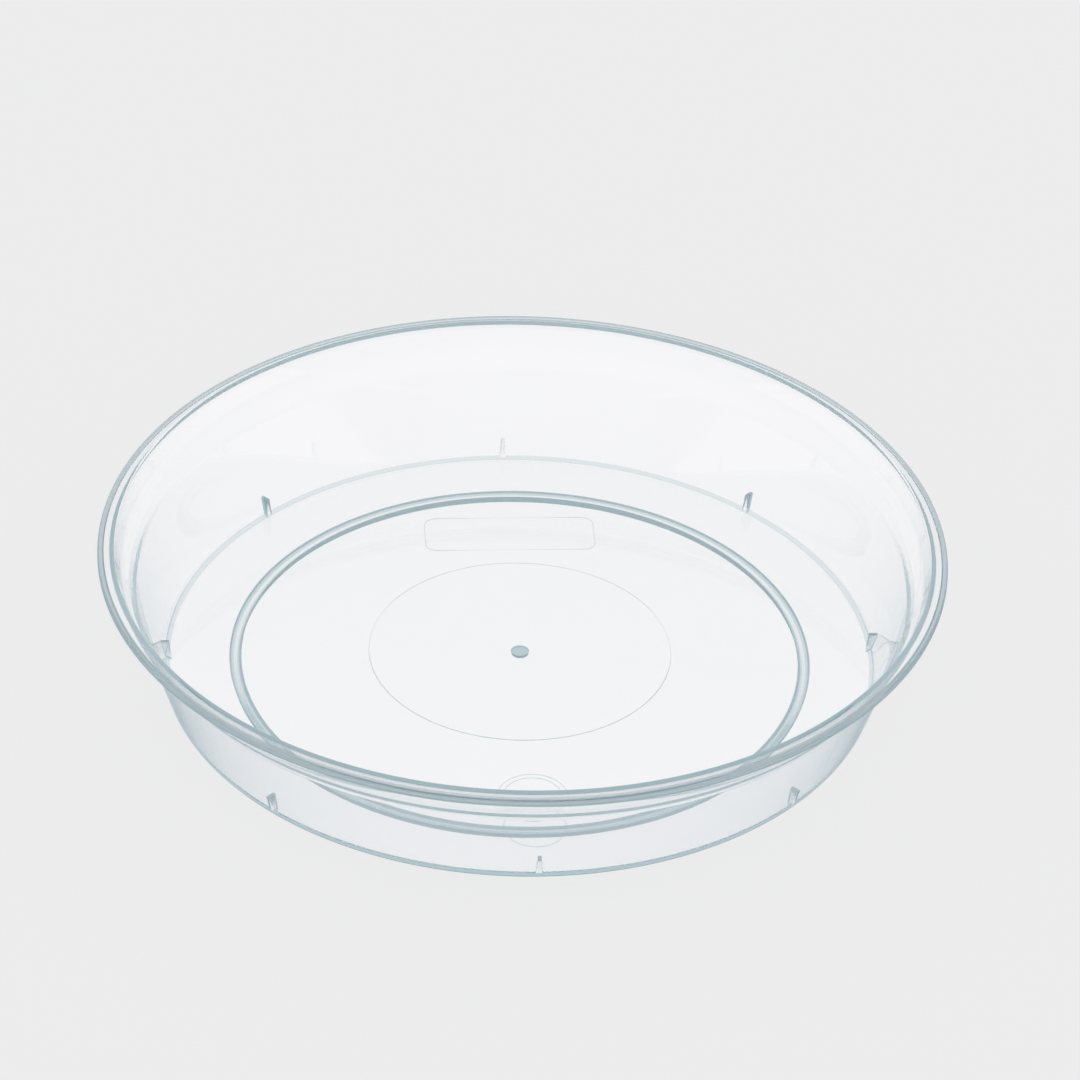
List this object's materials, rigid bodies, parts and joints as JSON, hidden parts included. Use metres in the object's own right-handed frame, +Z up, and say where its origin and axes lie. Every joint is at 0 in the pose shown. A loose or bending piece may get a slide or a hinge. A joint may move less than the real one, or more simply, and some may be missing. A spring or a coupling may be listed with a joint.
{
  "type": "plant saucer",
  "caption": "Shallow round saucer of clear plastic with a leaning wall, a shoulder, a narrow rim, small corner ribs and a foot ring; stands under a plant pot.",
  "frame": {"origin": "on the saucer's axis, at the ground under its foot ring", "axes": "+Z up along the saucer's axis; X and Y are level, and one corner rib lies 4 degrees from +X towards +Y"},
  "size_m": [0.18, 0.18, 0.0316],
  "materials": {
    "clear_plastic": "clear glossy polypropylene, moulded"
  },
  "bodies": {
    "root": {"saucer": "clear_plastic"}
  },
  "joints": []
}
